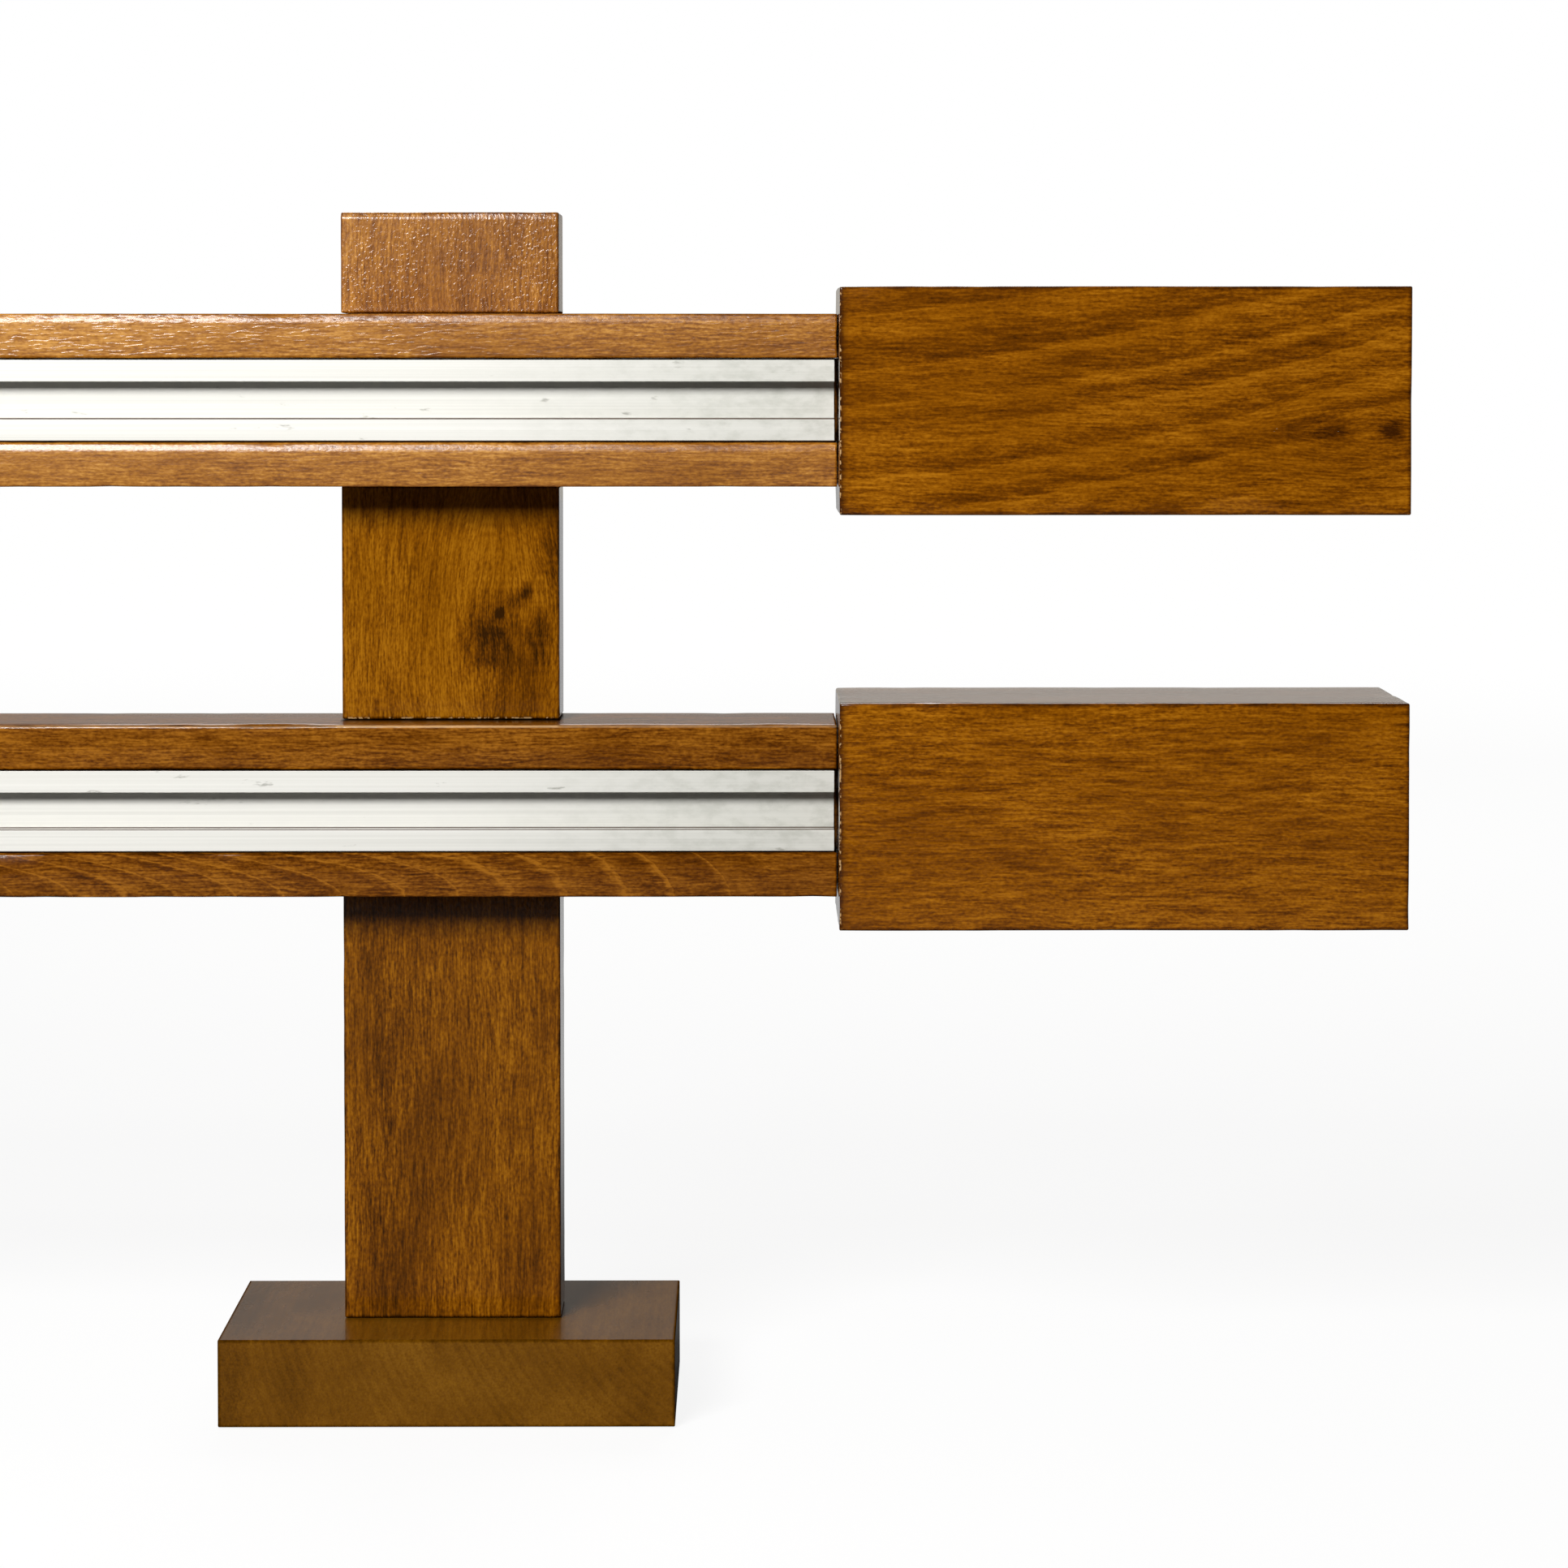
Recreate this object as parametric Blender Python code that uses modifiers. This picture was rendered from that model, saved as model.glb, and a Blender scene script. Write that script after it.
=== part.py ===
"""Free-standing timber display stand: two horizontal slotted rails on two posts and two board feet.

Lengths are in metres. X runs along the rails, -Y is the front, Z is up, and the origin is on the
floor under the middle of the stand. Each rail is a sandwich of two planks and a core, with an
aluminium channel bedded in its front. A square block closes each end of each rail.
"""

import math

import bmesh
import bpy
from mathutils import Matrix, Vector

# Driving dimensions of the whole stand.
LENGTH = 1.524
POST_X = LENGTH / 4  # the posts stand on the quarter points
BACK_Y = 0.025  # the posts, rails and blocks are flush along this plane
FIT_GAP = 0.0003  # clearance between touching pieces

FOOT_WIDTH = 0.182
FOOT_HEIGHT = 0.035
FOOT_FRONT_Y = -0.055
FOOT_BACK_Y = 0.065

POST_WIDTH = 0.088
POST_DEPTH = 0.038
LOWER_RAIL_Z = 0.210
UPPER_RAIL_Z = 0.374
TOP_Z = 0.484
MIDDLE_POST_LIFT = 0.001  # the middle post's cut end stands this far off the lower rail

RAIL_HEIGHT = 0.069
RAIL_DEPTH = 0.064
PLANK_THICKNESS = 0.0175

CHANNEL_HEIGHT = 0.0323
CHANNEL_DEPTH = 0.0095
CHANNEL_WALL = 0.002
CHANNEL_MOUTH = 0.0147
CHANNEL_RECESS = 0.0005  # the lips sit this far behind the planks' front faces
CHANNEL_END_GAP = 0.0015

BLOCK_LENGTH = 0.225
BLOCK_SIDE = 0.090

ARRIS = 0.0010  # width of the eased edges on the feet, posts and blocks
RAIL_ARRIS = 0.0016
CORE_ARRIS = 0.0004

DOWEL_RADIUS = 0.005
DOWEL_SPREAD = 0.025  # each dowel's distance from the middle of its pair at a post
DOWEL_DEPTH = 0.030  # how far a dowel goes into each piece that it joins
TOP_DOWEL_DEPTH = 0.026
END_DOWEL_Y = (-0.014, 0.010)
DOWEL_CHAMFER = 0.001
DOWEL_SIDES = 16
BORE_SLACK = 0.001  # room left beyond a dowel's or a screw's end

SCREW_HEAD_RADIUS = 0.005
SCREW_HEAD_HEIGHT = 0.003
SCREW_HEAD_Z = 0.008  # the underside of the head, well above the floor
SCREW_RADIUS = 0.0025
SCREW_LENGTH = 0.070
SCREW_POINT = 0.007
SCREW_SPREAD = 0.025
SCREW_SLOT = (0.0064, 0.0012, 0.0018)  # length, width and depth of one arm of the cross recess
SCREW_SIDES = 16
COUNTERBORE_RADIUS = 0.0065

# Places worked out from the dimensions above.
POST_FRONT_Y = BACK_Y - POST_DEPTH
POST_MID_Y = BACK_Y - POST_DEPTH / 2
RAIL_FRONT_Y = BACK_Y - RAIL_DEPTH
BLOCK_FRONT_Y = BACK_Y - BLOCK_SIDE
RAIL_HALF = LENGTH / 2 - BLOCK_LENGTH
CHANNEL_FRONT_Y = RAIL_FRONT_Y + CHANNEL_RECESS
CORE_FRONT_Y = CHANNEL_FRONT_Y + CHANNEL_DEPTH + FIT_GAP

SIDES = {"left": -1, "right": 1}
RAILS = {"lower": LOWER_RAIL_Z, "upper": UPPER_RAIL_Z}

# Colour, roughness and metallic value of each finish.
FINISHES = {
    "foot_timber": ((0.145, 0.066, 0.014, 1), 0.28, 0.0),
    "post_timber": ((0.215, 0.085, 0.010, 1), 0.25, 0.0),
    "rail_timber": ((0.250, 0.110, 0.020, 1), 0.25, 0.0),
    "block_timber": ((0.200, 0.062, 0.006, 1), 0.25, 0.0),
    "aluminium": ((0.760, 0.750, 0.720, 1), 0.35, 1.0),
    "dowel_timber": ((0.600, 0.420, 0.230, 1), 0.60, 0.0),
    "screw_steel": ((0.560, 0.560, 0.580, 1), 0.30, 1.0),
}


def clear_scene():
    for obj in list(bpy.data.objects):
        bpy.data.objects.remove(obj, do_unlink=True)


def new_collection(name):
    collection = bpy.data.collections.new(name)
    bpy.context.scene.collection.children.link(collection)
    return collection


def finish_material(slot, part_name):
    """The part's own Principled material, in its slot's finish."""
    color, roughness, metallic = FINISHES[slot]
    material = bpy.data.materials.new(f"{part_name}_{slot}")
    material.use_nodes = True
    shader = material.node_tree.nodes["Principled BSDF"]
    shader.inputs["Base Color"].default_value = color
    shader.inputs["Roughness"].default_value = roughness
    shader.inputs["Metallic"].default_value = metallic
    material.diffuse_color = color
    return material


def add_object(name, data, slot=None):
    """Puts data in the scene: a part if it has a slot, otherwise a cutter."""
    obj = bpy.data.objects.new(name, data)
    if slot is None:
        cutters.objects.link(obj)
        obj.hide_render = True
        obj.display_type = "WIRE"
    else:
        parts.objects.link(obj)
        data.materials.append(finish_material(slot, name))
    return obj


def mesh_from(name, bm):
    mesh = bpy.data.meshes.new(name)
    bm.to_mesh(mesh)
    bm.free()
    return mesh


def timber(name, slot, x_range, y_range, z_range, arris=ARRIS):
    """A sawn piece between the given limits, with its edges eased."""
    low = Vector((x_range[0], y_range[0], z_range[0]))
    high = Vector((x_range[1], y_range[1], z_range[1]))
    bm = bmesh.new()
    bmesh.ops.create_cube(bm, size=1, matrix=Matrix.Diagonal((*(high - low), 1)))
    piece = add_object(name, mesh_from(name, bm), slot)
    piece.location = (low + high) / 2
    bevel = piece.modifiers.new("arris", "BEVEL")
    bevel.width = arris
    bevel.segments = 1
    bevel.limit_method = "ANGLE"
    return piece


def rod_mesh(name, radius, length, sides=DOWEL_SIDES):
    """A cylinder about its own Z axis."""
    bm = bmesh.new()
    bmesh.ops.create_cone(
        bm, cap_ends=True, segments=sides, radius1=radius, radius2=radius, depth=length
    )
    return mesh_from(name, bm)


def bore(name, place, radius, length, along="Z"):
    """A cylindrical cutter centred on place."""
    cutter = add_object(name, rod_mesh(name, radius, length))
    cutter.location = place
    if along == "X":
        cutter.rotation_euler.y = math.pi / 2
    return cutter


def cut(piece, cutter):
    boolean = piece.modifiers.new(cutter.name, "BOOLEAN")
    boolean.operation = "DIFFERENCE"
    boolean.solver = "EXACT"
    boolean.object = cutter


def dowel(name, place, length, along="Z"):
    """A dowel with chamfered ends."""
    pin = add_object(name, rod_mesh(name, DOWEL_RADIUS, length), "dowel_timber")
    pin.location = place
    if along == "X":
        pin.rotation_euler.y = math.pi / 2
    chamfer = pin.modifiers.new("chamfer", "BEVEL")
    chamfer.width = DOWEL_CHAMFER
    chamfer.segments = 1
    chamfer.limit_method = "ANGLE"
    chamfer.angle_limit = 1.0
    pin.data.shade_smooth()
    pin.data.set_sharp_from_angle(angle=0.6)
    return pin


def make_feet():
    feet = {}
    for side, sign in SIDES.items():
        x = sign * POST_X
        feet[side] = timber(
            f"foot_{side}",
            "foot_timber",
            (x - FOOT_WIDTH / 2, x + FOOT_WIDTH / 2),
            (FOOT_FRONT_Y, FOOT_BACK_Y),
            (0, FOOT_HEIGHT),
        )
    return feet


def make_posts():
    """Each post is three lengths of board, cut where the rails pass through."""
    spans = {
        "lower_post": (FOOT_HEIGHT + FIT_GAP, LOWER_RAIL_Z - FIT_GAP),
        "middle_post": (
            LOWER_RAIL_Z + RAIL_HEIGHT + MIDDLE_POST_LIFT,
            UPPER_RAIL_Z - FIT_GAP,
        ),
        "top_post": (UPPER_RAIL_Z + RAIL_HEIGHT + FIT_GAP, TOP_Z),
    }
    posts = {}
    for side, sign in SIDES.items():
        x = sign * POST_X
        for part, z_range in spans.items():
            posts[part, side] = timber(
                f"{part}_{side}",
                "post_timber",
                (x - POST_WIDTH / 2, x + POST_WIDTH / 2),
                (POST_FRONT_Y, BACK_Y),
                z_range,
            )
    return posts


def make_rail(level, base_z):
    """Top plank, core and bottom plank of one rail, running between the end blocks."""
    x_range = (-RAIL_HALF + FIT_GAP, RAIL_HALF - FIT_GAP)
    top_z = base_z + RAIL_HEIGHT
    core_low = base_z + PLANK_THICKNESS
    core_high = top_z - PLANK_THICKNESS
    front_to_back = (RAIL_FRONT_Y, BACK_Y)
    return {
        "bottom_plank": timber(
            f"{level}_rail_bottom_plank",
            "rail_timber",
            x_range,
            front_to_back,
            (base_z, core_low),
            arris=RAIL_ARRIS,
        ),
        "core": timber(
            f"{level}_rail_core",
            "rail_timber",
            x_range,
            (CORE_FRONT_Y, BACK_Y),
            (core_low + FIT_GAP, core_high - FIT_GAP),
            arris=CORE_ARRIS,
        ),
        "top_plank": timber(
            f"{level}_rail_top_plank",
            "rail_timber",
            x_range,
            front_to_back,
            (core_high, top_z),
            arris=RAIL_ARRIS,
        ),
    }


def channel_outline():
    """The channel's section, as (depth, height) points: a C with its mouth to the front."""
    half = CHANNEL_HEIGHT / 2
    mouth = CHANNEL_MOUTH / 2
    inner = half - CHANNEL_WALL
    front = -CHANNEL_DEPTH / 2
    back = CHANNEL_DEPTH / 2
    lip_back = front + CHANNEL_WALL
    web_front = back - CHANNEL_WALL
    upper = [
        (web_front, inner),
        (lip_back, inner),
        (lip_back, mouth),
        (front, mouth),
        (front, half),
        (back, half),
    ]
    return upper + [(depth, -height) for depth, height in reversed(upper)]


def make_channel(level, base_z):
    """An aluminium extrusion: the outline lies in the curve's own XY plane and runs along world X."""
    curve = bpy.data.curves.new(f"{level}_channel", "CURVE")
    curve.dimensions = "2D"
    curve.fill_mode = "BOTH"
    curve.extrude = RAIL_HALF - CHANNEL_END_GAP
    outline = channel_outline()
    spline = curve.splines.new("POLY")
    spline.points.add(len(outline) - 1)
    for point, (depth, height) in zip(spline.points, outline):
        point.co = (depth, height, 0, 1)
    spline.use_cyclic_u = True
    channel = add_object(f"{level}_channel", curve, "aluminium")
    along_x = Matrix(((0, 0, 1), (1, 0, 0), (0, 1, 0))).to_4x4()
    middle = (0, CHANNEL_FRONT_Y + CHANNEL_DEPTH / 2, base_z + RAIL_HEIGHT / 2)
    channel.matrix_world = Matrix.Translation(middle) @ along_x


def make_blocks(level, base_z):
    """Square blocks on the ends of one rail, level with its middle."""
    middle_z = base_z + RAIL_HEIGHT / 2
    blocks = {}
    for side, sign in SIDES.items():
        ends = sorted((sign * RAIL_HALF, sign * LENGTH / 2))
        blocks[side] = timber(
            f"{level}_block_{side}",
            "block_timber",
            ends,
            (BLOCK_FRONT_Y, BACK_Y),
            (middle_z - BLOCK_SIDE / 2, middle_z + BLOCK_SIDE / 2),
        )
    return blocks


def join_crossing(level, side, below, above, rail, low_z, high_z):
    """A pair of dowels from the post below, through the rail's three layers, into the post above."""
    for place, offset in {"outer": DOWEL_SPREAD, "inner": -DOWEL_SPREAD}.items():
        sign = SIDES[side]
        middle = (sign * (POST_X + offset), POST_MID_Y, (low_z + high_z) / 2)
        length = high_z - low_z
        name = f"{level}_post_dowel_{side}_{place}"
        dowel(name, middle, length)
        hole = bore(
            f"{name}_bore", middle, DOWEL_RADIUS + FIT_GAP, length + 2 * BORE_SLACK
        )
        for piece in (below, *rail.values(), above):
            cut(piece, hole)


def join_block(level, side, block, core):
    """A pair of dowels from the rail's core into the end block."""
    for place, y in zip(("front", "back"), END_DOWEL_Y):
        middle = (SIDES[side] * RAIL_HALF, y, RAILS[level] + RAIL_HEIGHT / 2)
        name = f"{level}_end_dowel_{side}_{place}"
        dowel(name, middle, 2 * DOWEL_DEPTH, along="X")
        hole = bore(
            f"{name}_bore",
            middle,
            DOWEL_RADIUS + FIT_GAP,
            2 * (DOWEL_DEPTH + BORE_SLACK),
            along="X",
        )
        cut(block, hole)
        cut(core, hole)


def screw_outline():
    """Half of a countersunk wood screw, as (radius, height) points from its head to its point."""
    tip = SCREW_LENGTH
    return [
        (0, 0),
        (SCREW_HEAD_RADIUS, 0),
        (SCREW_HEAD_RADIUS, SCREW_HEAD_HEIGHT / 5),
        (SCREW_RADIUS, SCREW_HEAD_HEIGHT),
        (SCREW_RADIUS, tip - SCREW_POINT),
        (SCREW_RADIUS / 4, tip),
        (0, tip),
    ]


def make_screw(name, place):
    """A wood screw standing point up, with a cross recess in its head."""
    outline = [(radius, 0, height) for radius, height in screw_outline()]
    mesh = bpy.data.meshes.new(name)
    mesh.from_pydata(outline, [(i, i + 1) for i in range(len(outline) - 1)], [])
    screw = add_object(name, mesh, "screw_steel")
    screw.location = place
    turn = screw.modifiers.new("turn", "SCREW")
    turn.axis = "Z"
    turn.steps = SCREW_SIDES
    turn.render_steps = SCREW_SIDES
    turn.use_merge_vertices = True
    turn.merge_threshold = 0.00001
    turn.use_normal_flip = True
    turn.use_smooth_shade = False
    arm, width, depth = SCREW_SLOT
    for index, size in enumerate(((arm, width), (width, arm))):
        bm = bmesh.new()
        bmesh.ops.create_cube(bm, size=1, matrix=Matrix.Diagonal((*size, 2 * depth, 1)))
        slot_name = f"{name}_recess_{index + 1}"
        slot = add_object(slot_name, mesh_from(slot_name, bm))
        slot.location = place
        cut(screw, slot)


def fasten_foot(side, foot, post):
    """Two screws up through the foot into the lower post, their heads sunk in counterbores."""
    for place, offset in {"outer": SCREW_SPREAD, "inner": -SCREW_SPREAD}.items():
        x = SIDES[side] * (POST_X + offset)
        name = f"foot_screw_{side}_{place}"
        make_screw(name, (x, POST_MID_Y, SCREW_HEAD_Z))
        top_z = SCREW_HEAD_Z + SCREW_LENGTH + BORE_SLACK
        shank = bore(
            f"{name}_bore",
            (x, POST_MID_Y, top_z / 2),
            SCREW_RADIUS + FIT_GAP,
            top_z,
        )
        sink_top = SCREW_HEAD_Z + SCREW_HEAD_HEIGHT + FIT_GAP
        sink = bore(f"{name}_counterbore", (x, POST_MID_Y, 0), COUNTERBORE_RADIUS, 2 * sink_top)
        cut(foot, shank)
        cut(foot, sink)
        cut(post, shank)


clear_scene()
parts = new_collection("flag_display_stand")
cutters = new_collection("cutters")

foot_parts = make_feet()
post_parts = make_posts()
rail_parts = {level: make_rail(level, z) for level, z in RAILS.items()}
block_parts = {level: make_blocks(level, z) for level, z in RAILS.items()}
for rail_level, rail_z in RAILS.items():
    make_channel(rail_level, rail_z)

for post_side in SIDES:
    fasten_foot(post_side, foot_parts[post_side], post_parts["lower_post", post_side])
    join_crossing(
        "lower",
        post_side,
        post_parts["lower_post", post_side],
        post_parts["middle_post", post_side],
        rail_parts["lower"],
        LOWER_RAIL_Z - DOWEL_DEPTH,
        LOWER_RAIL_Z + RAIL_HEIGHT + DOWEL_DEPTH,
    )
    join_crossing(
        "upper",
        post_side,
        post_parts["middle_post", post_side],
        post_parts["top_post", post_side],
        rail_parts["upper"],
        UPPER_RAIL_Z - DOWEL_DEPTH,
        UPPER_RAIL_Z + RAIL_HEIGHT + TOP_DOWEL_DEPTH,
    )
    for rail_level in RAILS:
        join_block(
            rail_level,
            post_side,
            block_parts[rail_level][post_side],
            rail_parts[rail_level]["core"],
        )
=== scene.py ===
"""Looks of the flag pole stand: stained and varnished boards, bare aluminium channels, a pale studio."""

import math

import bmesh
import bpy
from mathutils import Matrix, Vector, noise


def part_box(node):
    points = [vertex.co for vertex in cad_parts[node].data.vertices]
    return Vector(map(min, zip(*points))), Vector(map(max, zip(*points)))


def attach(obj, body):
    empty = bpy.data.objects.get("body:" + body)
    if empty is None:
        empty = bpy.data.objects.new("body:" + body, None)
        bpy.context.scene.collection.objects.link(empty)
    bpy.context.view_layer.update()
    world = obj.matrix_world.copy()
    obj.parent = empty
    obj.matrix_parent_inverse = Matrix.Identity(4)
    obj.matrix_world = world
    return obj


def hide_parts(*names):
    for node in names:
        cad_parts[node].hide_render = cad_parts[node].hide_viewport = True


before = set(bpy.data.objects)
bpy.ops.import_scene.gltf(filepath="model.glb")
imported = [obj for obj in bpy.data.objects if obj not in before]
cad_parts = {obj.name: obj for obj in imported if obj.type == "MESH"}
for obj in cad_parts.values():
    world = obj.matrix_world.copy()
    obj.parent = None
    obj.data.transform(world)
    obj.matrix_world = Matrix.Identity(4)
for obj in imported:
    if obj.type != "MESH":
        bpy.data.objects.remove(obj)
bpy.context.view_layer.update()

SIDES = {"left": -1, "right": 1}
LEVELS = ("lower", "upper")
MM = 0.001


# Node building


class Graph:
    """A node tree that is built one call at a time. Each call gives the socket that holds its result."""

    def __init__(self, tree):
        self.tree = tree

    def node(self, kind, inputs=None, **settings):
        node = self.tree.nodes.new(kind)
        for key, value in settings.items():
            setattr(node, key, value)
        self.set(node, inputs or {})
        return node

    def set(self, node, inputs):
        for key, value in inputs.items():
            if isinstance(value, bpy.types.NodeSocket):
                self.tree.links.new(value, node.inputs[key])
            else:
                node.inputs[key].default_value = value

    def math(self, operation, *values):
        return self.node("ShaderNodeMath", dict(enumerate(values)), operation=operation).outputs[0]

    def product(self, *values):
        """The product of sockets and numbers. Numbers alone give a plain number."""
        result = values[0]
        for value in values[1:]:
            plain = isinstance(result, float) and isinstance(value, float)
            result = result * value if plain else self.math("MULTIPLY", result, value)
        return result

    def gap(self, value, other):
        return self.math("ABSOLUTE", self.math("SUBTRACT", value, other))

    def centred(self, value, strength):
        """A 0-1 value turned into one that swings by half the strength to either side of zero."""
        return self.math("MULTIPLY_ADD", value, strength, -strength / 2)

    def hypotenuse(self, first, second):
        squares = self.math("ADD", self.math("MULTIPLY", first, first), self.math("MULTIPLY", second, second))
        return self.math("SQRT", squares)

    def combine(self, x, y, z):
        return self.node("ShaderNodeCombineXYZ", {0: x, 1: y, 2: z}).outputs[0]

    def noise(self, vector, scale, offset=(0, 0, 0), detail=2.0, roughness=0.5):
        """Noise with its own scale along each axis, in cells per metre."""
        place = self.node("ShaderNodeMapping", {0: vector, 1: offset, 3: scale}).outputs[0]
        inputs = {"Vector": place, "Scale": 1.0, "Detail": detail, "Roughness": roughness}
        return self.node("ShaderNodeTexNoise", inputs).outputs["Fac"]

    def smooth(self, value, low, high, start=0.0, end=1.0):
        inputs = {"Value": value, "From Min": low, "From Max": high, "To Min": start, "To Max": end}
        return self.node("ShaderNodeMapRange", inputs, interpolation_type="SMOOTHSTEP").outputs[0]

    def mix(self, factor, color, over):
        return self.node("ShaderNodeMix", {0: factor, 6: color, 7: (*over, 1)}, data_type="RGBA").outputs[2]

    def ramp(self, factor, stops):
        node = self.node("ShaderNodeValToRGB", {0: factor})
        ramp = node.color_ramp
        while len(ramp.elements) < len(stops):
            ramp.elements.new(1.0)
        for element, (place, color) in zip(ramp.elements, stops):
            element.position = place
            element.color = (*color, 1)
        return node.outputs[0]

    def bump(self, height, distance, strength=1.0, normal=None):
        inputs = {"Height": height, "Distance": distance, "Strength": strength}
        if normal is not None:
            inputs["Normal"] = normal
        return self.node("ShaderNodeBump", inputs).outputs[0]


class Shader(Graph):
    """The graph of a new Principled material."""

    def __init__(self, name):
        self.material = bpy.data.materials.new(name)
        self.material.use_nodes = True
        super().__init__(self.material.node_tree)
        self.surface = self.tree.nodes["Principled BSDF"]

    def place(self):
        return self.node("ShaderNodeTexCoord").outputs["Object"]

    def axes(self):
        """The object's own x, y and z as three sockets."""
        return self.node("ShaderNodeSeparateXYZ", {0: self.place()}).outputs

    def finish(self, **inputs):
        """Sets the surface's inputs, whose names are written here with underscores."""
        self.set(self.surface, {key.replace("_", " "): value for key, value in inputs.items()})
        return self.material


def linear(*srgb):
    """A colour given in 0-255 sRGB steps, as linear light."""
    steps = [value / 255 for value in srgb]
    return tuple(s / 12.92 if s <= 0.04045 else ((s + 0.055) / 1.055) ** 2.4 for s in steps)


GRAIN_ORDER = {"X": (0, 2, 1), "Y": (1, 0, 2), "Z": (2, 0, 1)}


def grain_axes(shader, axis, centre):
    """Distances along the grain, across it and through the board, from the board's centre."""
    axes = shader.axes()
    return [shader.math("SUBTRACT", axes[i], centre[i]) for i in GRAIN_ORDER[axis]]


def edge_distance(shader, low, high):
    """Distance from a point on a box's surface to the nearest edge of the box."""
    axes = shader.axes()
    gaps = []
    for i in range(3):
        from_low = shader.math("SUBTRACT", axes[i], low[i])
        from_high = shader.math("SUBTRACT", high[i], axes[i])
        gaps.append(shader.math("MINIMUM", from_low, from_high))
    smaller = shader.math("MINIMUM", gaps[0], gaps[1])
    larger = shader.math("MAXIMUM", gaps[0], gaps[1])
    return shader.math("MAXIMUM", smaller, shader.math("MINIMUM", larger, gaps[2]))


def face_distance(shader, low, high, face):
    """Distance from one face of a box, given as its axis and which end of it."""
    axis, end = face
    return shader.gap(shader.axes()[axis], high[axis] if end > 0 else low[axis])


# Timber

post_low, post_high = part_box("middle_post_right")
POST_X = (post_low.x + post_high.x) / 2  # how far each post stands from the middle of the rails
POST_HALF_WIDTH = (post_high.x - post_low.x) / 2
SWAY = 6 * MM  # how far the grain wanders sideways
CELL = 9 * MM  # about how large the cells are that a board's faces are cut into
STAIN_STOPS = (0.08, 0.4, 0.62, 0.95)
END_STAIN = linear(50, 22, 2)
CHIPPED_WOOD = linear(196, 158, 108)
# The pale colour of a rubbed arris, which also serves as its painted highlight.
RUB_AND_HIGHLIGHT_WOOD = linear(224, 182, 128)
# The colour of the painted shade on a rail's top under and in front of a post.
CORNER_SHADE = linear(20, 8, 1)

# Each stain runs from its darkest grain to its palest.
STAIN = {
    "block": (linear(58, 26, 0), linear(104, 55, 0), linear(136, 78, 2), linear(172, 108, 14)),
    "post": (linear(48, 24, 0), linear(96, 52, 0), linear(126, 73, 1), linear(160, 102, 10)),
    "rail": (linear(52, 24, 0), linear(90, 46, 2), linear(118, 67, 8), linear(154, 96, 22)),
    # Paler stain for the upper planks and top posts: partly their own colour, partly painted light for the
    # light and sheen the upper boards catch.
    "pale_and_lit_upper": (linear(92, 48, 8), linear(136, 82, 20), linear(164, 106, 32), linear(200, 142, 62)),
    "foot": (linear(48, 25, 0), linear(84, 50, 2), linear(106, 66, 6), linear(130, 86, 16)),
}


def flame_field(shader, along, across, through, tip, root):
    """Growth rings cut at a slant, as nested tongues that end at tip: (ring distance, fading factor)."""
    past = shader.math("SUBTRACT", tip, along)
    bend = shader.smooth(past, 0.05, 0.2, 40, 140)
    height = shader.math("ADD", shader.math("MULTIPLY_ADD", through, 0.4, across), root)
    field = shader.math("MULTIPLY_ADD", shader.math("MULTIPLY", height, height), bend, along)
    return field, shader.smooth(past, -0.03, 0.02)


def knot_field(shader, place, along, across, swayed, knots):
    """How dark the knots are, and the across distance bent round them."""
    darkness = 0.0
    for knot_along, knot_across, long, wide, depth in knots:
        du = shader.math("DIVIDE", shader.math("SUBTRACT", along, knot_along), long)
        dv = shader.math("DIVIDE", shader.math("SUBTRACT", across, knot_across), wide)
        away = shader.hypotenuse(du, dv)
        ragged = shader.math("MULTIPLY_ADD", shader.noise(place, (150, 330, 200)), 0.8, away)
        darkness = shader.math("ADD", darkness, shader.smooth(ragged, 0.35, 1.75, depth, 0.0))
        push = shader.product(shader.smooth(away, 0.6, 4.5, 1.0, 0.0), wide * 0.3, shader.math("SIGN", dv))
        swayed = shader.math("SUBTRACT", swayed, push)
    return darkness, swayed


def pith_distance(shader, along, across, through, look):
    """Distance from the pith, which may lean or curve along the board."""
    pith_across, pith_through = look["pith"]
    lean = shader.math("MULTIPLY", along, look.get("lean", 0.0))
    curve = shader.product(along, along, look.get("curve", 0.0))
    offset = shader.math("ADD", shader.math("ADD", lean, curve), pith_across)
    deep = shader.math("SUBTRACT", through, pith_through)
    return shader.hypotenuse(shader.math("SUBTRACT", across, offset), deep)


def growth_rings(shader, along, across, through, coarse, look):
    """How dark the rings are. Each darkens and clears softly, and ends in a thin pale line."""
    if "flame" in look:
        radius, fade = flame_field(shader, along, across, through, *look["flame"])
    else:
        radius, fade = pith_distance(shader, along, across, through, look), 1.0
    wander = shader.combine(shader.math("MULTIPLY", radius, 90), 0.0, look["seed"])
    uneven = shader.noise(wander, (1, 1, 1), detail=3)
    years = shader.math("DIVIDE", radius, look["ring"])
    years = shader.math("MULTIPLY_ADD", uneven, look.get("uneven", 2.2), years)
    year = shader.math("FRACT", shader.math("MULTIPLY_ADD", coarse, 0.22, years))
    dark = shader.product(shader.smooth(year, 0.1, 0.75), shader.smooth(year, 0.7, 1.0, 1.0, 0.0))
    line = shader.product(shader.smooth(year, 0.86, 0.97), shader.smooth(year, 0.97, 1.0, 1.0, 0.0))
    dark = shader.math("SUBTRACT", dark, shader.math("MULTIPLY", line, look.get("pale", 0.3)))
    return shader.math("MULTIPLY", dark, fade)


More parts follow.
